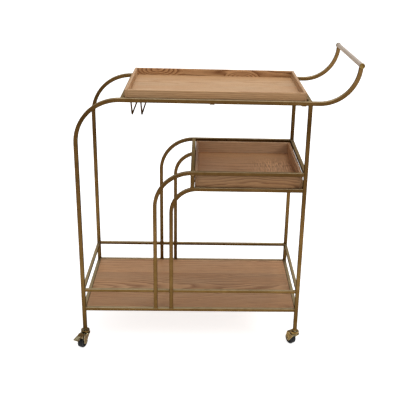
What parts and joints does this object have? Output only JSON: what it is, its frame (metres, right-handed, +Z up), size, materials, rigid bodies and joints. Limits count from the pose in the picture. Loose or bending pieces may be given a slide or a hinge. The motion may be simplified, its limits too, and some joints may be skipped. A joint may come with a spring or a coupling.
{
  "type": "bar cart",
  "caption": "Rolling bar cart with a bent square tube frame, lift-out wooden trays at two heights, a lower shelf behind guard rails, stemware wires and a raised handle.",
  "frame": {"origin": "on the floor, under the middle of the whole outline", "axes": "+X along the cart towards the handle, +Y from the front to the back, +Z up from the floor"},
  "size_m": [0.8813, 0.4792, 0.9597],
  "materials": {
    "antique_brass": "satin antique brass plating on steel tube",
    "handle_metal": "satin antique brass plating on steel tube, handled smooth",
    "bright_brass": "bright plated",
    "tray_wood": "open-grained ash veneer, satin lacquer",
    "shelf_wood": "open-grained ash veneer, satin lacquer",
    "wheel_plastic": "moulded, smooth tread",
    "nylon": "moulded",
    "screw_steel": "zinc plated"
  },
  "bodies": {
    "frame": {"front_side_tube": "antique_brass", "front_right_leg": "antique_brass", "front_outer_arch": "antique_brass", "front_inner_arch": "antique_brass", "front_shelf_post": "antique_brass", "front_base_rail": "antique_brass", "front_guard_rails": "antique_brass", "back_side_tube": "antique_brass", "back_right_leg": "antique_brass", "back_outer_arch": "antique_brass", "back_inner_arch": "antique_brass", "back_shelf_post": "antique_brass", "back_base_rail": "antique_brass", "back_guard_rails": "antique_brass", "top_left_cross_rail": "antique_brass", "top_right_cross_rail": "antique_brass", "upper_ring_left_rail": "antique_brass", "upper_ring_right_rail": "antique_brass", "lower_ring_left_rail": "antique_brass", "lower_ring_right_rail": "antique_brass", "left_base_rail": "antique_brass", "right_base_rail": "antique_brass", "left_guard_rail": "antique_brass", "right_guard_rail": "antique_brass", "handle_bar": "handle_metal", "handle_caps": "bright_brass", "stemware_wires": "antique_brass", "top_tray_tabs": "antique_brass", "mid_tray_tabs": "antique_brass", "shelf_tabs": "antique_brass", "shelf_screws": "screw_steel", "front_plank": "shelf_wood", "back_plank": "shelf_wood", "leg_plugs": "nylon", "caster_stems": "bright_brass", "swivel_rings": "nylon"},
    "top_tray": {"top_tray_floor": "tray_wood", "top_tray_front_wall": "tray_wood", "top_tray_back_wall": "tray_wood", "top_tray_left_wall": "tray_wood", "top_tray_right_wall": "tray_wood"},
    "mid_tray": {"mid_tray_floor": "tray_wood", "mid_tray_front_wall": "tray_wood", "mid_tray_back_wall": "tray_wood", "mid_tray_left_wall": "tray_wood", "mid_tray_right_wall": "tray_wood"},
    "front_left_fork_body": {"front_left_fork": "bright_brass", "front_left_axle": "bright_brass"},
    "front_left_wheel_body": {"front_left_wheel": "wheel_plastic"},
    "front_left_pedal_body": {"front_left_brake_pedal": "bright_brass"},
    "front_right_fork_body": {"front_right_fork": "bright_brass", "front_right_axle": "bright_brass"},
    "front_right_wheel_body": {"front_right_wheel": "wheel_plastic"},
    "back_left_fork_body": {"back_left_fork": "bright_brass", "back_left_axle": "bright_brass"},
    "back_left_wheel_body": {"back_left_wheel": "wheel_plastic"},
    "back_left_pedal_body": {"back_left_brake_pedal": "bright_brass"},
    "back_right_fork_body": {"back_right_fork": "bright_brass", "back_right_axle": "bright_brass"},
    "back_right_wheel_body": {"back_right_wheel": "wheel_plastic"}
  },
  "joints": [
    {"name": "top_tray_lift", "type": "slide", "parent": "frame", "child": "top_tray", "axis": [0, 0, 1], "range_m": [0, 0.15]},
    {"name": "mid_tray_lift", "type": "slide", "parent": "frame", "child": "mid_tray", "axis": [0, 0, 1], "range_m": [0, 0.12]},
    {"name": "front_left_swivel", "type": "hinge", "parent": "frame", "child": "front_left_fork_body", "pos_m": [-0.40845, -0.184, 0.048], "axis": [0, 0, 1], "continuous": true},
    {"name": "front_left_roll", "type": "hinge", "parent": "front_left_fork_body", "child": "front_left_wheel_body", "pos_m": [-0.41606, -0.20031, 0.019], "axis": [0.9063, -0.4226, 0], "continuous": true},
    {"name": "front_left_brake", "type": "hinge", "parent": "front_left_fork_body", "child": "front_left_pedal_body", "pos_m": [-0.41775, -0.20394, 0.044], "axis": [0.9063, -0.4226, 0], "range_deg": [0, 12]},
    {"name": "front_right_swivel", "type": "hinge", "parent": "frame", "child": "front_right_fork_body", "pos_m": [0.29155, -0.184, 0.048], "axis": [0, 0, 1], "continuous": true},
    {"name": "front_right_roll", "type": "hinge", "parent": "front_right_fork_body", "child": "front_right_wheel_body", "pos_m": [0.28149, -0.16908, 0.019], "axis": [-0.829, -0.5592, 0], "continuous": true},
    {"name": "back_left_swivel", "type": "hinge", "parent": "frame", "child": "back_left_fork_body", "pos_m": [-0.40845, 0.184, 0.048], "axis": [0, 0, 1], "continuous": true},
    {"name": "back_left_roll", "type": "hinge", "parent": "back_left_fork_body", "child": "back_left_wheel_body", "pos_m": [-0.41606, 0.20031, 0.019], "axis": [-0.9063, -0.4226, 0], "continuous": true},
    {"name": "back_left_brake", "type": "hinge", "parent": "back_left_fork_body", "child": "back_left_pedal_body", "pos_m": [-0.41775, 0.20394, 0.044], "axis": [-0.9063, -0.4226, 0], "range_deg": [0, 12]},
    {"name": "back_right_swivel", "type": "hinge", "parent": "frame", "child": "back_right_fork_body", "pos_m": [0.29155, 0.184, 0.048], "axis": [0, 0, 1], "continuous": true},
    {"name": "back_right_roll", "type": "hinge", "parent": "back_right_fork_body", "child": "back_right_wheel_body", "pos_m": [0.28149, 0.16908, 0.019], "axis": [0.829, -0.5592, 0], "continuous": true}
  ]
}
